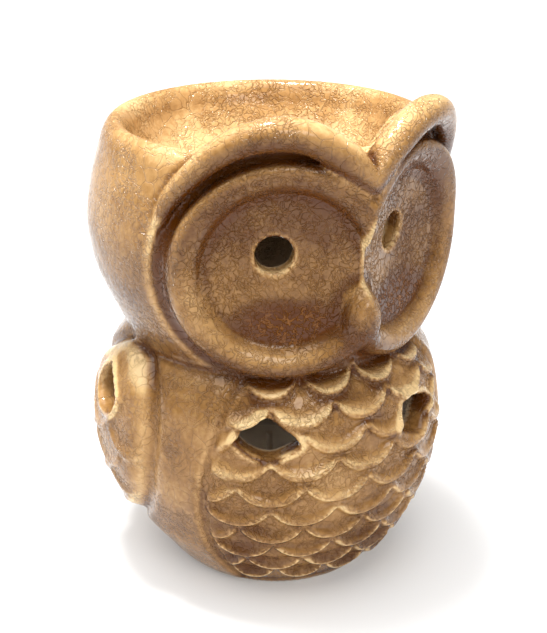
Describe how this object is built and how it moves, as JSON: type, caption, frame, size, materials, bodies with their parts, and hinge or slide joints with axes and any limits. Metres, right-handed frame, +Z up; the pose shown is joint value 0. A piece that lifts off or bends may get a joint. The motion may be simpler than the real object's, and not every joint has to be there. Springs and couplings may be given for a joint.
{
  "type": "ceramic tealight burner",
  "caption": "Owl-shaped glazed ceramic tealight burner: open dish in the head, cut vents in chest, wings and eyes, arched door at the back, tealight inside.",
  "frame": {"origin": "where the vertical axis of the dish meets the flat foot, on the surface it stands on", "axes": "+Z up; the owl faces -Y, its right wing is towards -X; the tealight door opens towards +Y"},
  "size_m": [0.0896, 0.0903, 0.1208],
  "materials": {
    "crackle_glaze": "glossy honey-brown crackle glaze, darker in the grooves",
    "cup_metal": "bright pressed foil",
    "wax": "waxy, slightly translucent",
    "wick_cotton": "braided, matte",
    "sustainer_metal": "tinned"
  },
  "bodies": {
    "burner": {"body_shell": "crackle_glaze", "head_shell": "crackle_glaze", "oil_dish": "crackle_glaze"},
    "tealight": {"tealight_cup": "cup_metal", "tealight_wax": "wax", "tealight_wick": "wick_cotton", "wick_sustainer": "sustainer_metal"}
  },
  "joints": [
    {"name": "tealight_slide", "type": "slide", "parent": "burner", "child": "tealight", "axis": [0, 1, 0], "range_m": [0, 0.07]}
  ]
}
